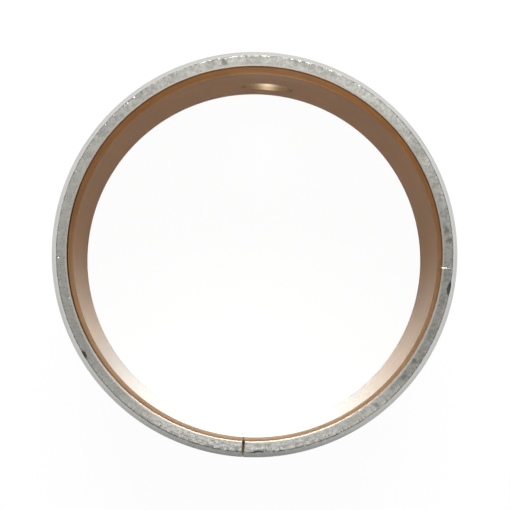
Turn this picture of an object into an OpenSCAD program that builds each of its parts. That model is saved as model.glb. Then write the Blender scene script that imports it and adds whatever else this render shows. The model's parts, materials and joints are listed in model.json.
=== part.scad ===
// Split plain bearing bush, rolled from steel strip that carries a bonded bronze lining.
// Z is the axis and the lower end sits on Z = 0. The oil hole opens along +Y, and the split
// where the strip's two ends meet runs close to -Y. Angles on the end face count from +X.

/* [Bush] */
// Diameter of the finished bore
bore_d = 40; // [24:0.5:80]
// Length from end to end
bush_l = 25; // [16:0.5:60]
// Thickness of the steel strip
back_t = 1.6; // [1.2:0.1:3]
// Thickness of the bronze bonded to the steel
lining_t = 0.4; // [0.3:0.05:0.8]

/* [Ends] */
// Axial length of the outside lead chamfer
lead_l = 1.9; // [1:0.1:3]
// Angle of the outside lead chamfer from the axis
lead_angle = 20; // [10:1:30]
// Axial length of the relief in each mouth of the bore
relief_l = 4; // [1:0.5:4.5]
// Depth of that relief at the mouth
relief_t = 0.05; // [0.02:0.01:0.12]
// Broken edge between the relief and the end face
edge_break = 0.15; // [0.05:0.01:0.2]

/* [Split] */
// Width of the gap between the strip's two ends
split_gap = 0.06; // [0.04:0.02:0.6]
// Lean of the gap from the axis, which carries its lower end towards -X
split_lean = 0.8; // [0:0.1:2]
// Turn of the gap from the point opposite the oil hole
split_turn = 0.9; // [-3:0.1:3]
// Broken edge along each side of the gap at the end faces
split_break = 0.12; // [0.05:0.01:0.25]

/* [Oil hole] */
// Diameter of the oil hole
oil_d = 6; // [2:0.5:8]
// Height of the oil hole's centre above the lower end
oil_z = 8.5; // [6:0.5:12]

/* [Wear on the upper end] */
// Angle of the line scored across the face
score_angle = 0; // [-40:1:40]
// Width of the scored line at the bore
score_w = 0.3; // [0.1:0.05:0.5]
// Depth of the scored line at the bore
score_t = 0.07; // [0.03:0.01:0.2]
// Angle above the end face from which each chip is scooped
chip_tilt = 62; // [30:1:75]

/* [Hidden] */
$fn = 180;
// Overshoot that carries a cut clear through a wall
past = 1;
bore_r = bore_d / 2;
bond_r = bore_r + lining_t;
outer_r = bond_r + back_t;
// Outer edge of the flat end face, inside the lead chamfer
face_r = outer_r - lead_l * tan(lead_angle);
mouth_r = bore_r + relief_t;
// Angle, length and depth of each chip knocked out of the outer edge of the face
CHIPS = [[-6, 1.8, 0.18], [-85, 1.2, 0.1], [215, 1.1, 0.18]];

// Half section of the steel strip: a plain tube with a lead chamfer at both ends
module back_section() {
    polygon([
        [bond_r, 0],
        [face_r, 0],
        [outer_r, lead_l],
        [outer_r, bush_l - lead_l],
        [face_r, bush_l],
        [bond_r, bush_l]
    ]);
}

// Half section of the lining: a straight bore that opens into a shallow relief at both mouths
module lining_section() {
    relief_z = edge_break + relief_l;
    polygon([
        [bond_r, 0],
        [bond_r, bush_l],
        [mouth_r + edge_break, bush_l],
        [mouth_r, bush_l - edge_break],
        [bore_r, bush_l - relief_z],
        [bore_r, relief_z],
        [mouth_r, edge_break],
        [mouth_r + edge_break, 0]
    ]);
}

// Straight butt gap through the whole wall, with its edges broken where it meets the end faces
module split() {
    shift = bush_l * tan(split_lean);
    rotate([0, 0, split_turn]) {
        translate([0, 0, bush_l])
            rotate([0, split_lean, 0])
                translate([-split_gap / 2, -outer_r - past, -bush_l - past])
                    cube([split_gap, outer_r + past, bush_l + 2 * past]);
        for (end = [[0, bush_l], [-shift, 0]])
            translate([end[0], 0, end[1]])
                broken_edges();
    }
}

// Square bar on its corner, whose lower half is the V between the two broken edges
module broken_edges() {
    side = (split_gap + 2 * split_break) / sqrt(2);
    rotate([0, 45, 0])
        translate([-side / 2, -outer_r - past, -side / 2])
            cube([side, outer_r + past, side]);
}

// Radial hole through the wall
module oil_hole() {
    translate([0, 0, oil_z])
        rotate([-90, 0, 0])
            cylinder(d = oil_d, h = outer_r + past);
}

// V line scored across the upper face, which runs out from its full size at the bore to nothing
module score() {
    reach = outer_r - bore_r;
    rotate([0, 0, score_angle])
        translate([bore_r, 0, bush_l])
            rotate([0, -atan(score_t / reach), 0])
                rotate([90, 0, 90])
                    linear_extrude(reach + past)
                        polygon([[-score_w, score_t], [0, -score_t], [score_w, score_t]]);
}

// Shallow scoop of the given length and depth out of the outer edge of the upper face
module chip(angle, length, depth) {
    scoop_r = (length * length / 4 + depth * depth) / (2 * depth);
    rotate([0, 0, angle])
        translate([face_r, 0, bush_l])
            rotate([0, -chip_tilt, 0])
                translate([scoop_r - depth, 0, 0])
                    sphere(r = scoop_r);
}

module steel_back() {
    color([0.66, 0.66, 0.64])
        difference() {
            rotate_extrude() back_section();
            split();
            oil_hole();
            score();
            for (c = CHIPS) chip(c[0], c[1], c[2]);
        }
}

module bronze_lining() {
    color([0.57, 0.42, 0.29])
        difference() {
            rotate_extrude() lining_section();
            split();
            oil_hole();
            score();
        }
}

steel_back();
bronze_lining();
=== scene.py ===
"""Looks of a rolled split bushing: a steel back with a bronze lining, standing on its end.

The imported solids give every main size. Geometry nodes roll each layer's section into a ring, roughen the
outer edge of its upper face and cut the oil hole, the split and the wear marks. Materials, light and the
camera follow the photograph.
"""

from __future__ import annotations

import json
import logging
import math
from dataclasses import dataclass
from enum import Enum
from typing import Any, Mapping, Sequence

import bpy
from mathutils import Euler, Matrix, Vector

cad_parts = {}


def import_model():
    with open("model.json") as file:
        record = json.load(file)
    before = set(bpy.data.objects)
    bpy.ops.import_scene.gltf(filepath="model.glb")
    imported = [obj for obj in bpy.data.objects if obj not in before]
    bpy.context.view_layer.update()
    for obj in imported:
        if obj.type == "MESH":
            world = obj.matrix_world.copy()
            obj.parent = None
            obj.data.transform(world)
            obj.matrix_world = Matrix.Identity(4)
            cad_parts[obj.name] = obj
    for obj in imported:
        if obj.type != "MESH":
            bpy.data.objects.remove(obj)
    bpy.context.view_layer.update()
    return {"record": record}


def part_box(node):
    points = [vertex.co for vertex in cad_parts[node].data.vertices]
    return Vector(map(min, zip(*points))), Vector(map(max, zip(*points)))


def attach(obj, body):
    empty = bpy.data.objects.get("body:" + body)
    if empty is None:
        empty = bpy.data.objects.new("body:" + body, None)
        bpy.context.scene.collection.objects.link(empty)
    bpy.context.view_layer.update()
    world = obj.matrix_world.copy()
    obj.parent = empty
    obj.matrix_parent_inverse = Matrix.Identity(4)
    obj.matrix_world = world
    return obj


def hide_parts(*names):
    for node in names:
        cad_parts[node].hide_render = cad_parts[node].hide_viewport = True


LOG = logging.getLogger("bushing")
MM = 0.001
DEG = math.radians(1.0)
BODY = "root"
Socket = bpy.types.NodeSocket
Colour = tuple[float, float, float]
Inputs = Mapping[str | int, Any]
BAND_CORE = 0.4
NICK_DEPTH = 0.004 * MM
NICK_TILT = 68.0 * DEG
NICK_FACING = 94.0 * DEG


class Layer(Enum):
    """The two metal layers of the strip, named as the frame names them."""

    BACK = "steel_back"
    LINING = "bronze_lining"


class MaterialSlot(Enum):
    """Finish slots of the record."""

    STEEL = "steel"
    BRONZE = "bronze"


class NodeBuilder:
    """Adds nodes to one node tree."""

    def __init__(self, tree: bpy.types.NodeTree) -> None:
        """Start on a tree.

        Args:
            tree: Node tree that the nodes go into.
        """
        self.tree = tree
        self.nodes = tree.nodes
        self.links = tree.links

    def add(self, kind: str, inputs: Inputs | None = None, **settings: Any) -> bpy.types.Node:
        """Add a node.

        Args:
            kind: Node type.
            inputs: Socket name or index to a value, a socket or a list of sockets.
            settings: Properties of the node.

        Returns:
            The node.
        """
        node = self.nodes.new(kind)
        for key, value in settings.items():
            setattr(node, key, value)
        for key, value in (inputs or {}).items():
            for item in value if isinstance(value, list) else [value]:
                if isinstance(item, Socket):
                    self.links.new(item, node.inputs[key])
                else:
                    node.inputs[key].default_value = item
        return node

    def math(self, operation: str, *terms: Any) -> Socket:
        """Add a math node on the terms and return its result."""
        return self.add("ShaderNodeMath", dict(enumerate(terms)), operation=operation).outputs[0]

    def ramp(self, value: Any, low: float, high: float, start: float = 0.0, end: float = 1.0) -> Socket:
        """Map a value smoothly, so that low gives start and high gives end."""
        inputs = {"Value": value, "From Min": low, "From Max": high, "To Min": start, "To Max": end}
        return self.add("ShaderNodeMapRange", inputs, interpolation_type="SMOOTHSTEP").outputs["Result"]


class GeometryTree(NodeBuilder):
    """One geometry node tree with named size inputs, built node by node."""

    def __init__(self, name: str) -> None:
        """Open an empty tree.

        Args:
            name: Name of the node group.
        """
        super().__init__(bpy.data.node_groups.new(name, "GeometryNodeTree"))
        face = self.tree.interface
        face.new_socket("Geometry", in_out="INPUT", socket_type="NodeSocketGeometry")
        face.new_socket("Geometry", in_out="OUTPUT", socket_type="NodeSocketGeometry")
        self.source = self.nodes.new("NodeGroupInput")
        self.sink = self.nodes.new("NodeGroupOutput")
        self.values: dict[str, float | int] = {}

    def given(self, name: str, value: float | int) -> Socket:
        """Add a named input.

        Args:
            name: Name shown on the modifier.
            value: Value that the modifier gets; its type picks the socket's type.

        Returns:
            The socket that carries the value inside the tree.
        """
        kind = "NodeSocketInt" if isinstance(value, int) else "NodeSocketFloat"
        item = self.tree.interface.new_socket(name, in_out="INPUT", socket_type=kind)
        self.values[item.identifier] = value
        return self.source.outputs[name]

    def close(self, geometry: Socket, material: bpy.types.Material) -> None:
        """End the tree with realised geometry that wears a material.

        Args:
            geometry: What the tree has made.
            material: Finish of every face.
        """
        real = self.add("GeometryNodeRealizeInstances", {"Geometry": geometry})
        dressed = self.add("GeometryNodeSetMaterial", {"Geometry": real.outputs[0], "Material": material})
        self.links.new(dressed.outputs[0], self.sink.inputs[0])

    def run(self, name: str, start: bpy.types.Mesh) -> bpy.types.Object:
        """Evaluate the tree on a mesh and keep the result as a plain mesh object.

        Args:
            name: Name of the new object.
            start: Mesh that enters the tree.

        Returns:
            The object, at the origin, with no modifier.
        """
        piece = bpy.data.objects.new(name, start)
        bpy.context.scene.collection.objects.link(piece)
        modifier = piece.modifiers.new(self.tree.name, "NODES")
        modifier.node_group = self.tree
        for identifier, value in self.values.items():
            modifier[identifier] = value
        shown = piece.evaluated_get(bpy.context.evaluated_depsgraph_get())
        made = bpy.data.meshes.new_from_object(shown)
        piece.modifiers.remove(modifier)
        piece.data = made
        made.name = name
        bpy.data.meshes.remove(start)
        return piece


class ShaderTree(NodeBuilder):
    """One procedural material, built node by node on Object coordinates."""

    def __init__(self, name: str) -> None:
        """Open a material with a Principled shader.

        Args:
            name: Name of the material.
        """
        self.material = bpy.data.materials.new(name)
        self.material.use_nodes = True
        super().__init__(self.material.node_tree)
        self.shader = self.nodes["Principled BSDF"]
        self.place = self.add("ShaderNodeTexCoord").outputs["Object"]

    def band(self, value: Socket, middle: float, half: float) -> Socket:
        """Mask a stretch of a value: 1 at its middle, and 0 from half its width on."""
        away = self.math("ABSOLUTE", self.math("SUBTRACT", value, middle))
        return self.ramp(away, BAND_CORE * half, half, 1.0, 0.0)

    def noise(
        self,
        size: float,
        detail: float = 3.0,
        roughness: float = 0.55,
        place: Socket | None = None,
    ) -> Socket:
        """Return a noise pattern whose largest features have the given size in metres."""
        inputs = {"Vector": place or self.place, "Scale": 1 / size, "Detail": detail, "Roughness": roughness}
        return self.add("ShaderNodeTexNoise", inputs).outputs["Fac"]

    def drawn(self, share: float) -> Socket:
        """Return coordinates squeezed across the axis, so that a pattern on them runs round the bush."""
        squeeze = {0: self.place, 1: (share, share, 1.0)}
        return self.add("ShaderNodeVectorMath", squeeze, operation="MULTIPLY").outputs[0]

    def mix(self, factor: Any, first: Any, second: Any) -> Socket:
        """Blend two colours, given as sockets or values, and return the result."""
        ends = [value if isinstance(value, Socket) else (*value, 1.0) for value in (first, second)]
        return self.add("ShaderNodeMix", {0: factor, 6: ends[0], 7: ends[1]}, data_type="RGBA").outputs[2]

    def blend(self, factor: Any, first: Any, second: Any) -> Socket:
        """Blend two numbers and return the result."""
        inputs = {"Value": factor, "To Min": first, "To Max": second}
        return self.add("ShaderNodeMapRange", inputs).outputs["Result"]

    def polar(self) -> tuple[Socket, Socket]:
        """Return the distance from the axis and the height, in metres.

        Returns:
            The sockets of the distance and of the height.
        """
        split = self.add("ShaderNodeSeparateXYZ", {0: self.place})
        flat = self.add("ShaderNodeCombineXYZ", {"X": split.outputs["X"], "Y": split.outputs["Y"]})
        radius = self.add("ShaderNodeVectorMath", {0: flat.outputs[0]}, operation="LENGTH").outputs["Value"]
        return radius, split.outputs["Z"]

    def bump(self, height: Socket, depth: float, strength: float = 1.0) -> Socket:
        """Turn a pattern from 0 to 1 into a normal, with its depth in metres."""
        inputs = {"Height": height, "Distance": depth, "Strength": strength}
        return self.add("ShaderNodeBump", inputs).outputs["Normal"]

    def set(self, **values: Any) -> None:
        """Set the shader's inputs.

        Args:
            values: Values or sockets by the input's name, with underscores for spaces.
        """
        for key, value in values.items():
            socket = self.shader.inputs[key.replace("_", " ").title().replace("Ior", "IOR")]
            if isinstance(value, Socket):
                self.links.new(value, socket)
            else:
                socket.default_value = value


@dataclass(frozen=True)
class BushSizes:
    """Sizes of the bush in metres, as the frame gives them."""

    bore_r: float
    bond_r: float
    outer_r: float
    length: float
    straight_l: float
    lead_l: float
    oil_r: float
    oil_z: float
    relief_t: float = 0.05 * MM
    edge_break: float = 0.15 * MM
    lead_angle: float = 20.0 * DEG
    split_gap: float = 0.06 * MM
    split_break: float = 0.12 * MM
    split_lean: float = 0.8 * DEG
    split_turn: float = 0.9 * DEG
    score_w: float = 0.24 * MM
    score_t: float = 0.088 * MM

    @classmethod
    def from_frame(cls, record: Mapping[str, Any]) -> BushSizes:
        """Read the sizes from the node boxes and the record's mounts.

        Args:
            record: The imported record.

        Returns:
            The sizes.
        """
        mounts = {mount["name"]: mount for mount in record["mounts"]}
        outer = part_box(Layer.BACK.value)[1]
        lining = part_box(Layer.LINING.value)[1]
        return cls(
            bore_r=mounts["bore"]["dims"]["r_mm"] * MM,
            bond_r=lining[0],
            outer_r=outer[0],
            length=outer[2],
            straight_l=mounts["bore"]["dims"]["length_mm"] * MM,
            lead_l=(outer[2] - mounts["outside"]["dims"]["length_mm"] * MM) / 2,
            oil_r=mounts["oil_hole"]["dims"]["r_mm"] * MM,
            oil_z=mounts["oil_hole"]["pos_m"][2],
        )

    @property
    def split_angle(self) -> float:
        """Direction of the split on the upper face, counted from +X."""
        return self.split_turn - math.pi / 2

    @property
    def face_r(self) -> float:
        """Outer edge of the flat end face."""
        return self.outer_r - self.lead_l * math.tan(self.lead_angle)

    @property
    def mouth_r(self) -> float:
        """Radius of the relieved mouth of the bore."""
        return self.bore_r + self.relief_t

    @property
    def relief_z(self) -> float:
        """Height where the straight bore starts."""
        return (self.length - self.straight_l) / 2


@dataclass(frozen=True)
class Corner:
    """One corner of a section: radius, height, rounding, and its share of the edge's burr and fray."""

    r: float
    z: float
    rounding: float = 0.0
    burr: float = 0.0
    fray: float = 0.0


@dataclass(frozen=True)
class Chip:
    """A scoop knocked out of the upper face, at or inside its outer edge."""

    angle: float
    length: float
    depth: float = 0.18 * MM
    tilt: float = 62.0 * DEG
    inset: float = 0.0
    facing: float | None = None

    @classmethod
    def nick(cls, angle: float, inset: float, length: float = 0.08 * MM) -> Chip:
        """Return a small bright nick in the face, scooped from the side of the oil hole."""
        return cls(angle, length, NICK_DEPTH, NICK_TILT, inset, NICK_FACING)

    @property
    def scoop_r(self) -> float:
        """Radius of the ball whose dent has this length and depth."""
        return (self.length**2 / 4 + self.depth**2) / (2 * self.depth)

    def middle(self, sizes: BushSizes) -> tuple[float, float, float]:
        """Place the ball that scoops it.

        Args:
            sizes: Sizes of the bush.

        Returns:
            The ball's centre in metres.
        """
        away = self.scoop_r - self.depth
        aside = self.angle if self.facing is None else self.facing
        out = away * math.cos(self.tilt)
        edge = sizes.face_r - self.inset
        x = edge * math.cos(self.angle) + out * math.cos(aside)
        y = edge * math.sin(self.angle) + out * math.sin(aside)
        return x, y, sizes.length + away * math.sin(self.tilt)


# The three large chips are cut from the solids too; the nicks are the scene's own
CHIPS = (
    Chip(-6.0 * DEG, 1.8 * MM),
    Chip(-85.0 * DEG, 1.2 * MM, 0.1 * MM),
    Chip(215.0 * DEG, 1.1 * MM),
    Chip.nick(185.6 * DEG, 0.26 * MM, 0.09 * MM),
    Chip.nick(197.8 * DEG, 0.84 * MM),
    Chip.nick(131.9 * DEG, 0.09 * MM),
    Chip.nick(134.4 * DEG, 0.11 * MM, 0.07 * MM),
    Chip.nick(135.5 * DEG, 0.09 * MM, 0.06 * MM),
    Chip.nick(139.9 * DEG, 0.08 * MM, 0.06 * MM),
    Chip.nick(143.5 * DEG, 0.15 * MM, 0.07 * MM),
    Chip.nick(148.3 * DEG, 0.10 * MM, 0.06 * MM),
)


@dataclass(frozen=True)
class Smudge:
    """A dark stain on the steel of the upper face."""

    angle: float
    inset: float
    reach: float = 0.45 * MM
    strength: float = 0.55
    core: float = 0.2
    raggedness: float = 3.0

    def mask(self, tree: ShaderTree, sizes: BushSizes, ragged: Socket) -> Socket:
        """Mask the stain.

        Args:
            tree: Material in the making.
            sizes: Sizes of the bush.
            ragged: Pattern about 0.5 that frays its outline.

        Returns:
            Socket that is the stain's strength in its middle and 0 outside it.
        """
        out = sizes.face_r - self.inset
        spot = (out * math.cos(self.angle), out * math.sin(self.angle), sizes.length)
        gap = tree.add("ShaderNodeVectorMath", {0: tree.place, 1: spot}, operation="DISTANCE")
        uneven = tree.math("SUBTRACT", ragged, 0.5)
        away = tree.math("MULTIPLY_ADD", uneven, self.raggedness * self.reach, gap.outputs["Value"])
        return tree.ramp(away, self.core * self.reach, self.reach, self.strength, 0.0)


SMUDGES = (
    Smudge(-29.7 * DEG, 0.70 * MM),
    Smudge(-35.5 * DEG, 0.62 * MM),
    Smudge(-47.0 * DEG, 0.50 * MM, 0.4 * MM),
    Smudge(103.2 * DEG, 0.48 * MM, 0.45 * MM, 0.7),
    Smudge(11.3 * DEG, 0.31 * MM, 0.5 * MM),
    Smudge(7.7 * DEG, 0.32 * MM, 0.4 * MM),
)


@dataclass(frozen=True)
class Span:
    """A stretch of the ring whose finish is brighter, duller or otherwise unlike the rest."""

    angle: float
    half: float
    gain: float

    def mask(self, tree: ShaderTree) -> Socket:
        """Mask the stretch.

        Args:
            tree: Material in the making.

        Returns:
            Socket that is 1 in the middle of the stretch and 0 past its ends.
        """
        toward = (math.cos(self.angle), math.sin(self.angle), 0.0)
        flat = tree.add("ShaderNodeVectorMath", {0: tree.place, 1: (1.0, 1.0, 0.0)}, operation="MULTIPLY")
        unit = tree.add("ShaderNodeVectorMath", {0: flat.outputs[0]}, operation="NORMALIZE")
        along = tree.add("ShaderNodeVectorMath", {0: unit.outputs[0], 1: toward}, operation="DOT_PRODUCT")
        return tree.ramp(along.outputs["Value"], math.cos(self.half), 1.0)

    def apply(self, tree: ShaderTree, tone: Socket | Colour) -> Socket:
        """Scale a colour within the stretch and return it."""
        gain = tree.blend(self.mask(tree), 1.0, self.gain)
        return tree.add("ShaderNodeVectorMath", {0: tone, "Scale": gain}, operation="SCALE").outputs[0]


# Lip of the lining: painted highlights on its lower stretches, and painted shade on its broken edge, deeper
# along one side
LIP_HIGHLIGHT = Span(318.0 * DEG, 50.0 * DEG, 1.15)
TIP_HIGHLIGHTS = (LIP_HIGHLIGHT, Span(236.0 * DEG, 28.0 * DEG, 1.25))
# Painted shade on the lip's broken edge, deeper along one side
DEEPER_LIP_SHADE = Span(184.0 * DEG, 40.0 * DEG, 0.4)
# Relief in the mouth: faded into the bore, and a painted highlight along one side
FADED = Span(56.0 * DEG, 66.0 * DEG, 0.8)
RELIEF_HIGHLIGHT = Span(85.0 * DEG, 75.0 * DEG, 1.2)
# Steel face: the stretch where its painted edge shade is unbroken, its calm side, and its stretches of
# painted highlight and painted shade
UNBROKEN_EDGE_SHADE = Span(238.0 * DEG, 38.0 * DEG, 0.9)
CALM = Span(192.0 * DEG, 56.0 * DEG, 0.3)
# Painted highlight and painted shade, by stretches round the face
FACE_LIGHT_AND_SHADE = (
    Span(40.0 * DEG, 34.0 * DEG, 1.27),
    Span(98.0 * DEG, 34.0 * DEG, 0.96),
    Span(166.0 * DEG, 26.0 * DEG, 1.18),
    Span(221.0 * DEG, 26.0 * DEG, 0.84),
    Span(259.0 * DEG, 26.0 * DEG, 1.12),
    Span(304.0 * DEG, 28.0 * DEG, 1.14),
    Span(338.0 * DEG, 30.0 * DEG, 0.88),
)


@dataclass(frozen=True)
class SteelFinish:
    """Bare strip steel: a sheared, mottled end face with stretches of painted highlight and painted shade,
    and a smoother pressed outside.
    """

    light: Colour = (0.56, 0.553, 0.51)
    dark: Colour = (0.39, 0.383, 0.35)
    torn_light: Colour = (0.66, 0.655, 0.63)
    torn_dark: Colour = (0.30, 0.295, 0.275)
    lead: Colour = (0.37, 0.365, 0.34)
    outside: Colour = (0.37, 0.365, 0.345)
    outside_dark: Colour = (0.27, 0.265, 0.25)
    # Painted shade in a dark line along the face's outer edge
    steel_edge_shade: Colour = (0.12, 0.105, 0.085)
    # Painted shade along the split on the face
    seam_shade: Colour = (0.36, 0.31, 0.25)
    stain: Colour = (0.17, 0.17, 0.16)
    smear: Colour = (0.45, 0.355, 0.245)
    roughness: float = 0.28
    grain_roughness: float = 0.1
    seam_and_hole_roughness: float = 0.25
    anisotropy: float = 0.2
    grain_turn: float = 0.25
    cloud_size: float = 2.6 * MM
    cloud_share: float = 0.28
    patch_size: float = 0.8 * MM
    patch_share: float = 0.3
    grain_size: float = 0.3 * MM
    grain_share: float = 0.42
    tear_size: float = 0.6 * MM
    tear_stretch: float = 2.2
    torn_from: float = 0.75
    torn_share: float = 0.85
    torn_bump: float = 0.65
    calm_bump: float = 0.1
    bump_depth: float = 0.03 * MM
    line_half: float = 0.09 * MM
    brush_size: float = 0.35 * MM
    brush_stretch: float = 0.07
    brush_share: float = 0.6
    stain_size: float = 5.0 * MM
    stain_share: float = 0.4
    seam_half: float = 2.5
    seam_depth: float = 2.0 * MM

    def build(self, sizes: BushSizes) -> bpy.types.Material:
        """Make the material.

        Args:
            sizes: Sizes that place the face and the outside.

        Returns:
            The material.
        """
        tree = ShaderTree("strip_steel")
        _, height = tree.polar()
        face = tree.ramp(height, sizes.length - 0.12 * MM, sizes.length - 0.04 * MM)
        worn = tree.ramp(height, sizes.length - 1.3 * MM, sizes.length - 0.6 * MM)
        patches = tree.noise(self.patch_size, 2.0, 0.5)
        grain = tree.noise(self.grain_size, 2.0, 0.6)
        near = self.near(tree, sizes)
        tone = self.face_tone(tree, sizes, patches, grain, near)
        colour = tree.mix(face, tree.mix(worn, self.wall_tone(tree), self.lead), tone)
        # Painted shade along the outer edge of the face
        colour = tree.mix(self.painted_edge_shade(tree, sizes, patches), colour, self.steel_edge_shade)
        half = self.seam_half * sizes.split_break
        seam = strip_mask(tree, sizes, sizes.split_angle, half, self.seam_depth, sizes.split_lean)
        # Painted shade along the split
        colour = tree.mix(seam, colour, self.seam_shade)
        hole = hole_mask(tree, sizes)
        colour = tree.mix(hole, colour, self.smear)
        smooth = self.roughness - self.grain_roughness / 2
        gloss = tree.math("MULTIPLY_ADD", grain, self.grain_roughness, smooth)
        gloss = tree.math("MULTIPLY_ADD", tree.math("MAXIMUM", seam, hole), self.seam_and_hole_roughness, gloss)
        torn = tree.blend(near, self.calm_bump, self.torn_bump)
        torn = tree.blend(face, self.calm_bump, torn)
        fine = tree.bump(tree.math("MULTIPLY", grain, torn), self.bump_depth)
        tangent = tree.add("ShaderNodeTangent", direction_type="RADIAL", axis="Z").outputs[0]
        tree.set(base_color=colour, metallic=1.0, roughness=gloss, normal=fine)
        tree.set(anisotropic=self.anisotropy, anisotropic_rotation=self.grain_turn, tangent=tangent)
        return tree.material

    def near(self, tree: ShaderTree, sizes: BushSizes) -> Socket:
        """Mask the torn side of the bush, about the split."""
        front = tree.add("ShaderNodeSeparateXYZ", {0: tree.place}).outputs["Y"]
        return tree.ramp(front, -sizes.face_r, -self.torn_from * sizes.face_r, 1.0, 0.0)

    def face_tone(
        self,
        tree: ShaderTree,
        sizes: BushSizes,
        patches: Socket,
        grain: Socket,
        near: Socket,
    ) -> Socket:
        """Colour the sheared end face.

        Args:
            tree: Material in the making.
            sizes: Sizes of the bush.
            patches: Middle pattern of the steel.
            grain: Finest pattern of the steel.
            near: Mask of the torn side.

        Returns:
            The colour, with its stretches of painted highlight and painted shade, and its smudges.
        """
        clouds = tree.noise(self.cloud_size, 2.0, 0.5)
        broad = tree.math("MULTIPLY", clouds, self.cloud_share)
        broad = tree.math("MULTIPLY_ADD", patches, self.patch_share, broad)
        mottle = tree.ramp(tree.math("MULTIPLY_ADD", grain, self.grain_share, broad), 0.38, 0.62)
        harsh = tree.blend(CALM.mask(tree), 1.0, CALM.gain)
        swing = tree.math("MULTIPLY", tree.math("SUBTRACT", mottle, 0.5), harsh)
        tone = tree.mix(tree.math("ADD", swing, 0.5), self.dark, self.light)
        # Painted highlight and painted shade by stretches round the face
        for span in FACE_LIGHT_AND_SHADE:
            tone = span.apply(tree, tone)
        tone = tree.mix(tree.math("MULTIPLY", near, self.torn_share), tone, self.torn_tone(tree, sizes))
        ragged = tree.math("MULTIPLY_ADD", patches, 0.5, tree.math("MULTIPLY", grain, 0.5))
        for smudge in SMUDGES:
            tone = tree.mix(smudge.mask(tree, sizes, ragged), tone, self.stain)
        return tone

    def torn_tone(self, tree: ShaderTree, sizes: BushSizes) -> Socket:
        """Colour the torn side of the face.

        Args:
            tree: Material in the making.
            sizes: Sizes of the bush.

        Returns:
            The colour, in short tears along the rim.
        """
        flat = tree.add("ShaderNodeSeparateXYZ", {0: tree.place})
        radius, _ = tree.polar()
        turn = tree.math("ARCTAN2", flat.outputs["Y"], flat.outputs["X"])
        along = tree.math("MULTIPLY", turn, sizes.face_r)
        across = tree.math("MULTIPLY", radius, self.tear_stretch)
        rolled = tree.add("ShaderNodeCombineXYZ", {"X": along, "Y": across}).outputs[0]
        tears = tree.ramp(tree.noise(self.tear_size, 3.0, 0.6, rolled), 0.36, 0.64)
        return tree.mix(tears, self.torn_dark, self.torn_light)

    def wall_tone(self, tree: ShaderTree) -> Socket:
        """Colour the pressed outside.

        Args:
            tree: Material in the making.

        Returns:
            The colour, with brushed lines and faint stains.
        """
        lines = tree.noise(self.brush_size, 4.0, 0.65, tree.drawn(self.brush_stretch))
        stains = tree.math("MULTIPLY", tree.noise(self.stain_size, 3.0, 0.5), self.stain_share)
        brushed = tree.math("MULTIPLY_ADD", lines, self.brush_share, stains)
        return tree.mix(tree.ramp(brushed, 0.36, 0.64), self.outside_dark, self.outside)

    def painted_edge_shade(self, tree: ShaderTree, sizes: BushSizes, patches: Socket) -> Socket:
        """Mask the painted shade, a dark line along the outer edge of the upper face.

        Args:
            tree: Material in the making.
            sizes: Sizes of the bush.
            patches: Pattern that breaks the line up.

        Returns:
            Socket that is near 1 in the line and 0 beside it.
        """
        radius, height = tree.polar()
        line = tree.band(radius, sizes.face_r + 0.02 * MM, self.line_half)
        high = tree.ramp(height, sizes.length - 0.3 * MM, sizes.length - 0.15 * MM)
        broken = tree.ramp(patches, 0.35, 0.6, 0.2, 0.9)
        # The painted edge shade is unbroken along one stretch
        broken = tree.blend(UNBROKEN_EDGE_SHADE.mask(tree), broken, UNBROKEN_EDGE_SHADE.gain)
        return tree.math("MULTIPLY", tree.math("MULTIPLY", line, high), broken)


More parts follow.
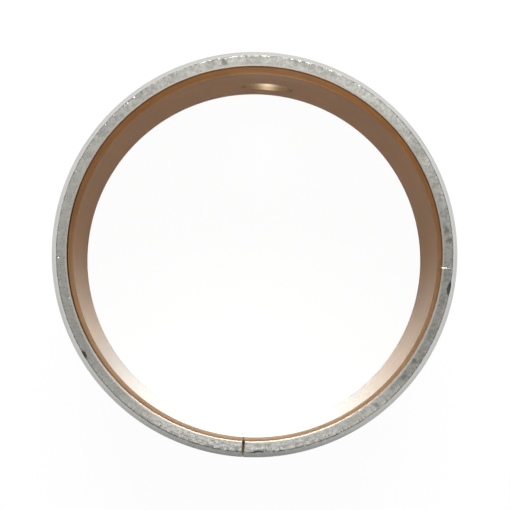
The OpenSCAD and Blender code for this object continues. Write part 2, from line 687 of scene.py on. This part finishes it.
@dataclass(frozen=True)
class BronzeFinish:
    """Bronze lining: a sized bore, a rawer orange relief at its mouths and bright cut ends, with painted
    highlight and painted shade at the lip.
    """

    bore: Colour = (1.0, 0.66, 0.31)
    bore_dark: Colour = (0.92, 0.53, 0.24)
    relief: Colour = (0.53, 0.29, 0.083)
    relief_dark: Colour = (0.36, 0.195, 0.05)
    fresh: Colour = (0.40, 0.29, 0.18)
    cut_end: Colour = (0.54, 0.52, 0.48)
    lip: Colour = (0.64, 0.55, 0.45)
    # Painted shade on the lip's broken edge and along the split
    bronze_shade: Colour = (0.30, 0.195, 0.115)
    # Painted reflection on the split's faces in the straight bore
    split_reflection: Colour = (0.97, 0.92, 0.86)
    edge_tint: Colour = (0.65, 0.795, 0.93)
    bore_roughness: float = 0.14
    relief_roughness: float = 0.5
    lip_roughness: float = 0.45
    end_roughness: float = 0.28
    hole_roughness: float = 0.5
    grain_roughness: float = 0.1
    cloud_size: float = 3.5 * MM
    cloud_share: float = 0.3
    grain_size: float = 0.3 * MM
    grain_share: float = 0.25
    streak_size: float = 1.8 * MM
    streak_stretch: float = 0.08
    streak_share: float = 0.45
    relief_lean: float = 0.045
    relief_wander: float = 0.2 * MM
    bump_depth: float = 0.02 * MM
    bump_strength: float = 0.4
    # Share of the painted highlight on the lip
    lip_highlight_share: float = 0.85
    seam_half: float = 1.8
    seam_depth: float = 5.0 * MM
    score_half: float = 0.7
    score_depth: float = 0.3 * MM

    def build(self, sizes: BushSizes) -> bpy.types.Material:
        """Make the material.

        Args:
            sizes: Sizes that place the relief and the oil hole.

        Returns:
            The material.
        """
        tree = ShaderTree("lining_bronze")
        _, height = tree.polar()
        middle = sizes.length / 2
        up = tree.math("ABSOLUTE", tree.math("SUBTRACT", height, middle))
        upper = tree.ramp(height, middle, middle + MM)
        raw = tree.math("MULTIPLY", self.mouth(tree, sizes, up), upper)
        edge = middle - sizes.edge_break
        broken = tree.ramp(up, edge - 0.1 * MM, edge + 0.02 * MM)
        end = tree.ramp(up, middle - 0.012 * MM, middle - 0.003 * MM)
        hole = hole_mask(tree, sizes)
        grain = tree.noise(self.grain_size, 3.0, 0.6)
        colour = self.wall_tone(tree, grain, raw)
        colour = tree.mix(tree.math("MULTIPLY", broken, upper), colour, self.lip_tone(tree))
        colour = tree.mix(end, colour, self.end_tone(tree, sizes))
        colour = tree.mix(hole, colour, self.fresh)
        colour = self.marked(tree, sizes, raw, colour)
        gloss = tree.blend(raw, self.bore_roughness, self.relief_roughness)
        gloss = tree.math("MULTIPLY_ADD", tree.math("SUBTRACT", grain, 0.5), self.grain_roughness, gloss)
        gloss = tree.blend(broken, gloss, self.lip_roughness)
        gloss = tree.blend(end, gloss, self.end_roughness)
        gloss = tree.blend(hole, gloss, self.hole_roughness)
        fine = tree.bump(tree.math("MULTIPLY", grain, raw), self.bump_depth, self.bump_strength)
        tree.set(specular_tint=(*self.edge_tint, 1.0))
        tree.set(base_color=colour, metallic=1.0, roughness=gloss, normal=fine)
        return tree.material

    def mouth(self, tree: ShaderTree, sizes: BushSizes, up: Socket) -> Socket:
        """Mask the relief in the mouths, which leans a little and fades into the bore along one stretch.

        Args:
            tree: Material in the making.
            sizes: Sizes of the bush.
            up: Distance from the middle of the length.

        Returns:
            Socket that is 1 in the relief and 0 in the straight bore.
        """
        start = sizes.length / 2 - sizes.relief_z
        sideways = tree.add("ShaderNodeSeparateXYZ", {0: tree.place}).outputs["X"]
        wander = tree.math("MULTIPLY_ADD", tree.noise(1.2 * MM), self.relief_wander, up)
        wander = tree.math("MULTIPLY_ADD", sideways, -self.relief_lean, wander)
        crisp = tree.ramp(wander, start - 0.3 * MM, start - 0.1 * MM)
        faded = tree.ramp(wander, start - 2.2 * MM, start + 0.6 * MM)
        share = tree.math("MULTIPLY", FADED.mask(tree), FADED.gain)
        return tree.blend(share, crisp, faded)

    def wall_tone(self, tree: ShaderTree, grain: Socket, raw: Socket) -> Socket:
        """Colour the bore and its relief.

        Args:
            tree: Material in the making.
            grain: Finest pattern of the bronze.
            raw: Mask of the relief.

        Returns:
            The colour, with clouds and with streaks drawn round the bore.
        """
        streaks = tree.noise(self.streak_size, 3.0, 0.6, tree.drawn(self.streak_stretch))
        blotch = tree.math("MULTIPLY", tree.noise(self.cloud_size, 4.0, 0.6), self.cloud_share)
        blotch = tree.math("MULTIPLY_ADD", grain, self.grain_share, blotch)
        blotch = tree.math("MULTIPLY_ADD", streaks, self.streak_share, blotch)
        shade = tree.ramp(blotch, 0.4, 0.64)
        bore = tree.mix(shade, self.bore_dark, self.bore)
        # Painted highlight on the relief along the side towards +Y
        relief = RELIEF_HIGHLIGHT.apply(tree, tree.mix(shade, self.relief_dark, self.relief))
        return tree.mix(raw, bore, relief)

    def lip_tone(self, tree: ShaderTree) -> Socket:
        """Colour the broken edge with painted shade, deeper along one side, and with a painted highlight
        where the lip is pale.
        """
        # Painted highlight on one stretch of the lip, over its painted shade
        highlight_mask = tree.math("MULTIPLY", LIP_HIGHLIGHT.mask(tree), self.lip_highlight_share)
        return tree.mix(highlight_mask, DEEPER_LIP_SHADE.apply(tree, self.bronze_shade), self.lip)

    def end_tone(self, tree: ShaderTree, sizes: BushSizes) -> Socket:
        """Colour the cut end of the lining.

        Args:
            tree: Material in the making.
            sizes: Sizes of the bush.

        Returns:
            The colour, brighter by painted highlights on two stretches.
        """
        radius, _ = tree.polar()
        ragged = tree.math("MULTIPLY_ADD", tree.noise(0.4 * MM), 0.3 * MM, radius)
        outward = tree.ramp(ragged, sizes.bond_r + 0.02 * MM, sizes.bond_r + 0.06 * MM)
        tip = tree.mix(outward, self.lip, self.cut_end)
        # Painted highlights on two stretches of the cut end
        for span in TIP_HIGHLIGHTS:
            tip = span.apply(tree, tip)
        return tip

    def marked(self, tree: ShaderTree, sizes: BushSizes, raw: Socket, colour: Socket) -> Socket:
        """Lay the painted reflection and painted shade of the split, and the scored line, over a colour.

        Args:
            tree: Material in the making.
            sizes: Sizes of the bush.
            raw: Mask of the relief, where the split gets no painted reflection.
            colour: Colour before.

        Returns:
            The colour after.
        """
        turn = sizes.split_angle
        lean = sizes.split_lean
        gap = strip_mask(tree, sizes, turn, sizes.split_break, 4 * sizes.length, lean)
        # Painted reflection on the split's faces outside the relief
        reflected_split = tree.math("MULTIPLY", gap, tree.math("SUBTRACT", 1.0, raw))
        colour = tree.mix(reflected_split, colour, self.split_reflection)
        # Painted shade along the split
        seam = strip_mask(tree, sizes, turn, self.seam_half * sizes.split_break, self.seam_depth, lean)
        colour = tree.mix(seam, colour, self.bronze_shade)
        score = strip_mask(tree, sizes, 0.0, self.score_half * sizes.score_w, self.score_depth)
        return tree.mix(score, colour, self.lip)


def hole_mask(tree: ShaderTree, sizes: BushSizes) -> Socket:
    """Mask the wall of the oil hole.

    Args:
        tree: Material in the making.
        sizes: Sizes of the hole.

    Returns:
        Socket that is 1 on the hole's wall and 0 elsewhere.
    """
    split = tree.add("ShaderNodeSeparateXYZ", {0: tree.place})
    rise = tree.math("SUBTRACT", split.outputs["Z"], sizes.oil_z)
    square = tree.math("ADD", tree.math("POWER", split.outputs["X"], 2.0), tree.math("POWER", rise, 2.0))
    inside = tree.ramp(tree.math("SQRT", square), sizes.oil_r + 0.02 * MM, sizes.oil_r + 0.05 * MM, 1.0, 0.0)
    return tree.math("MULTIPLY", inside, tree.math("GREATER_THAN", split.outputs["Y"], 0.0))


def strip_mask(
    tree: ShaderTree,
    sizes: BushSizes,
    angle: float,
    half: float,
    depth: float,
    lean: float = 0.0,
) -> Socket:
    """Mask a narrow radial strip of the upper end.

    Args:
        tree: Material in the making.
        sizes: Sizes of the bush.
        angle: Direction of the strip, counted from +X in radians.
        half: Half its width in metres.
        depth: How far it reaches below the end face in metres.
        lean: Lean of the strip from the axis in radians.

    Returns:
        Socket that is 1 in the strip and 0 elsewhere.
    """
    back = tree.add("ShaderNodeVectorRotate", {"Vector": tree.place, "Angle": -angle}, rotation_type="Z_AXIS")
    split = tree.add("ShaderNodeSeparateXYZ", {0: back.outputs[0]})
    height = split.outputs["Z"]
    below = tree.math("SUBTRACT", sizes.length, height)
    aside = tree.math("MULTIPLY_ADD", below, math.tan(lean), split.outputs["Y"])
    ahead = tree.math("GREATER_THAN", split.outputs["X"], 0.0)
    inside = tree.math("MULTIPLY", tree.band(aside, 0.0, half), ahead)
    return tree.math("MULTIPLY", inside, tree.ramp(below, 0.5 * depth, depth, 1.0, 0.0))


@dataclass(frozen=True)
class RolledLayer:
    """One layer of the strip, rolled round the axis from its section."""

    sizes: BushSizes
    layer: Layer
    slot: MaterialSlot
    steps: int = 1800
    seed: float = 7.0
    burr_height: float = 0.013 * MM
    burr_size: float = 0.3 * MM
    fray_depth: float = 0.035 * MM
    fray_size: float = 0.5 * MM
    torn: float = 3.1
    torn_from: float = 0.5
    fillet_steps: int = 5
    hole_steps: int = 128
    ball_steps: int = 48
    sharp_angle: float = 18.0 * DEG

    def section(self) -> list[Corner]:
        """Return the corners of the layer's half section, in order round it."""
        return self.back_section() if self.layer is Layer.BACK else self.lining_section()

    def back_section(self) -> list[Corner]:
        """Return the steel strip's section, with a fine upper outer edge that carries the burr."""
        s = self.sizes
        slope = math.tan(s.lead_angle)
        # Millimetres down the chamfer, or in along the face where negative, with the shares of burr and fray
        edge = [
            (0.55, 0.0, 0.0),
            (0.30, 0.0, 0.15),
            (0.12, 0.0, 0.6),
            (0.02, 0.0, 1.0),
            (-0.035, 1.0, 0.9),
            (-0.12, 0.75, 0.6),
            (-0.20, 0.45, 0.4),
            (-0.30, 0.2, 0.2),
            (-0.40, 0.05, 0.1),
            (-0.60, 0.0, 0.0),
        ]
        upper = []
        for step, burr, fray in edge:
            down = max(step, 0.0) * MM
            out = s.face_r + down * slope + min(step, 0.0) * MM
            upper.append(Corner(out, s.length - down, 0.0, burr, fray))
        return [
            Corner(s.bond_r, 0.0),
            Corner(s.face_r, 0.0, 0.1 * MM),
            Corner(s.outer_r, s.lead_l, 0.7 * MM),
            Corner(s.outer_r, s.length - s.lead_l, 0.7 * MM),
            *upper,
            Corner(s.bond_r, s.length),
        ]

    def lining_section(self) -> list[Corner]:
        """Return the bronze lining's section, with its relieved mouths and rounded lips."""
        s = self.sizes
        lip = s.mouth_r + s.edge_break
        return [
            Corner(s.bond_r, s.length),
            Corner(lip + 0.06 * MM, s.length, 0.0, 0.0, 0.3),
            Corner(lip, s.length, 0.06 * MM, 0.0, 0.4),
            Corner(s.mouth_r, s.length - s.edge_break, 0.2 * MM, 0.0, 0.2),
            Corner(s.bore_r, s.length - s.relief_z, 2.0 * MM),
            Corner(s.bore_r, s.relief_z, 2.0 * MM),
            Corner(s.mouth_r, s.edge_break, 0.2 * MM),
            Corner(lip, 0.0, 0.12 * MM),
            Corner(s.bond_r, 0.0),
        ]

    def outline(self) -> bpy.types.Mesh:
        """Return the section as a closed edge loop that stores each corner's weights on its point."""
        corners = self.section()
        mesh = bpy.data.meshes.new(self.layer.value + "_section")
        points = [(c.r - self.sizes.bond_r, -c.z, 0.0) for c in corners]
        count = len(points)
        mesh.from_pydata(points, [(i, (i + 1) % count) for i in range(count)], [])
        for name in ("rounding", "burr", "fray"):
            weights = mesh.attributes.new(name, "FLOAT", "POINT")
            weights.data.foreach_set("value", [getattr(corner, name) for corner in corners])
        return mesh

    def build(self, material: bpy.types.Material) -> bpy.types.Object:
        """Roll, roughen and cut the layer.

        Args:
            material: Finish of the layer.

        Returns:
            The piece.
        """
        s = self.sizes
        tree = GeometryTree(self.layer.value + "_roll")
        loop = tree.add("GeometryNodeMeshToCurve", {"Mesh": tree.source.outputs["Geometry"]})
        rounding = tree.add("GeometryNodeInputNamedAttribute", {"Name": "rounding"}, data_type="FLOAT")
        fillet = {"Curve": loop.outputs[0], "Count": self.fillet_steps}
        fillet |= {"Radius": rounding.outputs[0], "Limit Radius": True}
        profile = tree.add("GeometryNodeFilletCurve", fillet, mode="POLY")
        radius = tree.given("Bond Radius", s.bond_r)
        steps = tree.given("Steps", self.steps)
        arc = {"Resolution": steps, "Radius": radius, "Start Angle": -math.pi / 2, "Sweep Angle": 2 * math.pi}
        path = tree.add("GeometryNodeCurveArc", arc, mode="RADIUS")
        path = tree.add("GeometryNodeSetCurveNormal", {"Curve": path.outputs[0]}, mode="Z_UP")
        sweep = {"Curve": path.outputs[0], "Profile Curve": profile.outputs[0], "Fill Caps": True}
        ring = tree.add("GeometryNodeCurveToMesh", sweep).outputs[0]
        ring = tree.add("GeometryNodeFlipFaces", {"Mesh": ring}).outputs[0]
        ring = self.roughen(tree, ring)
        both = {"Mesh 1": ring, "Mesh 2": self.cutters(tree)}
        cut = tree.add("GeometryNodeMeshBoolean", both, operation="DIFFERENCE", solver="MANIFOLD")
        angle = tree.add("GeometryNodeInputMeshEdgeAngle").outputs["Unsigned Angle"]
        smooth = tree.add("GeometryNodeSetShadeSmooth", {"Geometry": cut.outputs[0]}, domain="FACE")
        keen = tree.math("GREATER_THAN", angle, self.sharp_angle)
        sharp = {"Geometry": smooth.outputs[0], "Selection": keen, "Shade Smooth": False}
        shaded = tree.add("GeometryNodeSetShadeSmooth", sharp, domain="EDGE")
        tree.close(shaded.outputs[0], material)
        return tree.run(self.layer.value + "_ring", self.outline())

    def roughen(self, tree: GeometryTree, ring: Socket) -> Socket:
        """Raise the burr and fray the edges of the upper face.

        Args:
            tree: Tree in the making.
            ring: The smooth ring.

        Returns:
            The roughened ring.
        """
        place = tree.add("GeometryNodeInputPosition").outputs[0]
        split = tree.add("ShaderNodeSeparateXYZ", {0: place})
        flat = tree.add("ShaderNodeCombineXYZ", {"X": split.outputs["X"], "Y": split.outputs["Y"]}).outputs[0]
        outward = tree.add("ShaderNodeVectorMath", {0: flat}, operation="NORMALIZE").outputs[0]
        around = {0: outward, "Scale": self.sizes.face_r}
        rim = tree.add("ShaderNodeVectorMath", around, operation="SCALE").outputs[0]
        seed = tree.given("Seed", self.seed)
        lump = self.wave(tree, rim, seed, self.burr_size)
        tear = tree.math("SUBTRACT", self.wave(tree, rim, tree.math("ADD", seed, 11.0), self.fray_size), 0.5)
        depth = tree.given("Fray Depth", self.fray_depth)
        swing = tree.math("MULTIPLY", tree.math("MULTIPLY", tear, 4.0), depth)
        front = -self.sizes.face_r
        near = tree.ramp(split.outputs["Y"], front, self.torn_from * front, self.torn, 1.0)
        swing = tree.math("MULTIPLY", swing, near)
        rise = tree.math("MULTIPLY", tree.ramp(lump, 0.42, 0.7), tree.given("Burr Height", self.burr_height))
        rise = tree.math("MULTIPLY", rise, near)
        burr = tree.add("GeometryNodeInputNamedAttribute", {"Name": "burr"}, data_type="FLOAT").outputs[0]
        fray = tree.add("GeometryNodeInputNamedAttribute", {"Name": "fray"}, data_type="FLOAT").outputs[0]
        upward = tree.add("ShaderNodeCombineXYZ", {"Z": tree.math("MULTIPLY", rise, burr)}).outputs[0]
        sideways = {0: outward, "Scale": tree.math("MULTIPLY", swing, fray)}
        sideways = tree.add("ShaderNodeVectorMath", sideways, operation="SCALE").outputs[0]
        offset = tree.add("ShaderNodeVectorMath", {0: sideways, 1: upward}, operation="ADD").outputs[0]
        return tree.add("GeometryNodeSetPosition", {"Geometry": ring, "Offset": offset}).outputs[0]

    @staticmethod
    def wave(tree: GeometryTree, place: Socket, seed: Any, size: float) -> Socket:
        """Return a seeded noise pattern whose largest features have the given size in metres."""
        inputs = {"Vector": place, "W": seed, "Scale": 1.0 / size, "Detail": 2.0, "Roughness": 0.6}
        return tree.add("ShaderNodeTexNoise", inputs, noise_dimensions="4D").outputs["Fac"]

    def cutters(self, tree: GeometryTree) -> list[Socket]:
        """Make the solids that cut the split, the oil hole and the wear.

        Args:
            tree: Tree in the making.

        Returns:
            One socket for each cutter.
        """
        s = self.sizes
        past = 1.0 * MM
        reach = s.outer_r + past
        tall = s.length + 2 * past
        opening = tree.given("Split Gap", s.split_gap)
        size = tree.add("ShaderNodeCombineXYZ", {"X": opening, "Y": reach, "Z": 2 * tall})
        gap = tree.add("GeometryNodeMeshCube", {"Size": size.outputs[0]})
        toward = (math.cos(s.split_angle), math.sin(s.split_angle))
        spot = (toward[0] * reach / 2, toward[1] * reach / 2, s.length)
        made = [self.placed(tree, gap, spot, (0.0, s.split_lean, s.split_turn))]
        side = s.split_gap / 2 + s.split_break
        notch = {"Vertices": 4, "Radius Top": side, "Radius Bottom": side, "Depth": s.outer_r}
        bevel = tree.add("GeometryNodeMeshCone", notch)
        spot = (toward[0] * s.bore_r, toward[1] * s.bore_r, s.length)
        made.append(self.placed(tree, bevel, spot, (math.pi / 2, 0.0, s.split_turn)))
        drill_r = tree.given("Oil Hole Radius", s.oil_r)
        drill = {"Vertices": self.hole_steps, "Radius": drill_r, "Depth": reach}
        hole = tree.add("GeometryNodeMeshCylinder", drill)
        made.append(self.placed(tree, hole, (0.0, reach / 2, s.oil_z), (math.pi / 2, 0.0, 0.0)))
        wide = s.score_w / 2
        run = s.face_r - s.bore_r + 0.3 * MM
        score = {"Vertices": 4, "Radius Top": 0.0, "Radius Bottom": wide, "Depth": run}
        line = tree.add("GeometryNodeMeshCone", score)
        flat = (s.score_t / wide, 1.0, 1.0)
        made.append(self.placed(tree, line, (s.bore_r, 0.0, s.length), (0.0, math.pi / 2, 0.0), flat))
        for chip in CHIPS:
            if self.layer is Layer.BACK or chip.inset > s.face_r - s.bond_r:
                dent = {"Segments": self.ball_steps, "Rings": self.ball_steps // 2}
                ball = tree.add("GeometryNodeMeshUVSphere", dent | {"Radius": chip.scoop_r})
                made.append(self.placed(tree, ball, chip.middle(s), (0.0, 0.0, chip.angle)))
        return made

    @staticmethod
    def placed(
        tree: GeometryTree,
        node: bpy.types.Node,
        spot: Sequence[float],
        turn: Sequence[float],
        scale: Sequence[float] = (1.0, 1.0, 1.0),
    ) -> Socket:
        """Move and turn a cutter.

        Args:
            tree: Tree in the making.
            node: The cutter's node.
            spot: Where its middle goes.
            turn: Euler angles in radians.
            scale: Stretch along the cutter's own axes.

        Returns:
            The placed cutter's socket.
        """
        inputs = {"Geometry": node.outputs["Mesh"], "Translation": spot}
        inputs |= {"Rotation": Euler(turn), "Scale": scale}
        return tree.add("GeometryNodeTransform", inputs).outputs[0]

    def seat(self, piece: bpy.types.Object) -> None:
        """Tie the finished piece to the frame.

        Args:
            piece: The layer's mesh object.
        """
        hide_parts(self.layer.value)
        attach(piece, BODY)


@dataclass(frozen=True)
class Studio:
    """Camera, floor and light, set out in the photograph's own directions."""

    sizes: BushSizes
    roll: float = 4.3 * DEG
    picture_px: float = 510.0
    sensor: float = 36.0
    face_scale: float = 9.312
    distance: float = 202.0 * MM
    off_axis: tuple[float, float] = (-0.8 * MM, -6.77 * MM)
    aim: tuple[float, float] = (0.03 * MM, -0.185 * MM)
    floor_half: float = 1.5
    floor_colour: Colour = (0.85, 0.85, 0.85)
    floor_cool: Colour = (0.745, 0.865, 1.0)
    cool_angle: float = 262.0 * DEG
    cool_from: float = 0.4
    cool_full: float = 0.8
    glow_seen: float = 0.97
    glow_mirrored: float = 0.03
    glow_outside: float = 0.25
    glow_fade: float = 1.1
    key_power: float = 14.8
    key_size: tuple[float, float] = (0.55, 0.4)
    key_place: tuple[float, float, float] = (0.035, 0.585, 0.605)
    back_power: float = 0.155
    front_power: float = 0.255
    box_size: tuple[float, float] = (0.15, 0.3)
    back_box: tuple[float, float, float] = (0.0, 0.19, 0.8)
    front_box: tuple[float, float, float] = (-0.015, -0.16, 0.8)
    sky: float = 0.14

    def turned(self, x: float, y: float, z: float) -> Vector:
        """Turn a place from the photograph's directions into the object's frame."""
        return Matrix.Rotation(self.roll, 3, "Z") @ Vector((x, y, z))

    def build(self) -> None:
        """Set up the camera, floor, lamps and world."""
        self.camera()
        self.floor()
        self.lamps()
        self.world()
        bpy.context.scene.view_settings.view_transform = "Standard"

    def camera(self) -> None:
        """Look down the bore from the photograph's standpoint."""
        top = self.sizes.length
        eye = self.turned(self.off_axis[0], self.off_axis[1], top + self.distance)
        target = self.turned(self.aim[0], self.aim[1], top)
        back = (eye - target).normalized()
        right = self.turned(0.0, 1.0, 0.0).cross(back).normalized()
        up = back.cross(right)
        data = bpy.data.cameras.new("camera")
        data.sensor_width = self.sensor
        focal_px = self.face_scale / MM * (eye - target).length
        data.lens = focal_px / self.picture_px * self.sensor
        data.clip_start = 1.0 * MM
        camera = bpy.data.objects.new("camera", data)
        camera.matrix_world = Matrix.Translation(eye) @ Matrix((right, up, back)).transposed().to_4x4()
        bpy.context.scene.collection.objects.link(camera)
        bpy.context.scene.camera = camera

    def floor(self) -> None:
        """Lay a plain white floor under the bush."""
        half = self.floor_half
        mesh = bpy.data.meshes.new("floor")
        corners = [(-half, -half, 0.0), (half, -half, 0.0), (half, half, 0.0), (-half, half, 0.0)]
        mesh.from_pydata(corners, [], [(0, 1, 2, 3)])
        floor = bpy.data.objects.new("floor", mesh)
        tree = ShaderTree("white_floor")
        radius, _ = tree.polar()
        # Cool under the near side of the bore, against the warm light that the lining throws there
        toward = self.turned(math.cos(self.cool_angle), math.sin(self.cool_angle), 0.0)
        across = {0: tree.place, 1: toward / self.sizes.bore_r}
        ahead = tree.add("ShaderNodeVectorMath", across, operation="DOT_PRODUCT").outputs["Value"]
        inside = tree.math("LESS_THAN", radius, self.sizes.bond_r)
        cool = tree.math("MULTIPLY", tree.ramp(ahead, self.cool_from, self.cool_full), inside)
        tree.set(base_color=tree.mix(cool, self.floor_colour, self.floor_cool))
        tree.set(roughness=0.9, specular_ior_level=0.0)
        path = tree.add("ShaderNodeLightPath")
        mirrored = tree.math("MAXIMUM", path.outputs["Is Glossy Ray"], path.outputs["Is Transmission Ray"])
        seen = tree.math("MULTIPLY", path.outputs["Is Camera Ray"], self.glow_seen)
        foot = self.sizes.outer_r
        shown = tree.ramp(radius, foot, self.glow_fade * foot, self.glow_mirrored, self.glow_outside)
        share = tree.math("MULTIPLY_ADD", mirrored, shown, seen)
        glow = tree.add("ShaderNodeEmission", {"Strength": 1.0})
        surface = {0: share, 1: tree.shader.outputs[0], 2: glow.outputs[0]}
        mixed = tree.add("ShaderNodeMixShader", surface)
        tree.links.new(mixed.outputs[0], tree.nodes["Material Output"].inputs["Surface"])
        mesh.materials.append(tree.material)
        bpy.context.scene.collection.objects.link(floor)

    def lamp(self, name: str, place: Vector, size: tuple[float, float], power: float) -> None:
        """Hang a soft lamp that faces the bush.

        Args:
            name: Name of the lamp.
            place: Its middle.
            size: Lengths of its sides in metres, the second one in the photograph's upward direction.
            power: Its power in watts.
        """
        data = bpy.data.lights.new(name, "AREA")
        data.shape = "RECTANGLE"
        data.size, data.size_y = size
        data.energy = power
        back = place.normalized()
        right = self.turned(0.0, 1.0, 0.0).cross(back).normalized()
        lamp = bpy.data.objects.new(name, data)
        turn = Matrix((right, back.cross(right), back)).transposed().to_4x4()
        lamp.matrix_world = Matrix.Translation(place) @ turn
        bpy.context.scene.collection.objects.link(lamp)

    def lamps(self) -> None:
        """Hang the key lamp on the photograph's upper side and two softboxes overhead."""
        self.lamp("key", self.turned(*self.key_place), self.key_size, self.key_power)
        self.lamp("back_box", self.turned(*self.back_box), self.box_size, self.back_power)
        self.lamp("front_box", self.turned(*self.front_box), self.box_size, self.front_power)

    def world(self) -> None:
        """Fill with a soft even sky."""
        world = bpy.data.worlds.new("sky")
        world.use_nodes = True
        light = world.node_tree.nodes["Background"].inputs
        light["Color"].default_value = (1.0, 1.0, 1.0, 1.0)
        light["Strength"].default_value = self.sky
        bpy.context.scene.world = world


def main() -> None:
    """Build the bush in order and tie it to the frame."""
    logging.basicConfig(level=logging.INFO, format="%(name)s: %(message)s")
    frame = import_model()
    sizes = BushSizes.from_frame(frame["record"])
    finishes = {Layer.BACK: SteelFinish().build(sizes), Layer.LINING: BronzeFinish().build(sizes)}
    layers = (
        RolledLayer(sizes, Layer.BACK, MaterialSlot.STEEL),
        RolledLayer(sizes, Layer.LINING, MaterialSlot.BRONZE),
    )
    for layer in layers:
        piece = layer.build(finishes[layer.layer])
        layer.seat(piece)
        LOG.info("%s has %d faces", piece.name, len(piece.data.polygons))
    Studio(sizes).build()


if __name__ == "__main__":
    main()
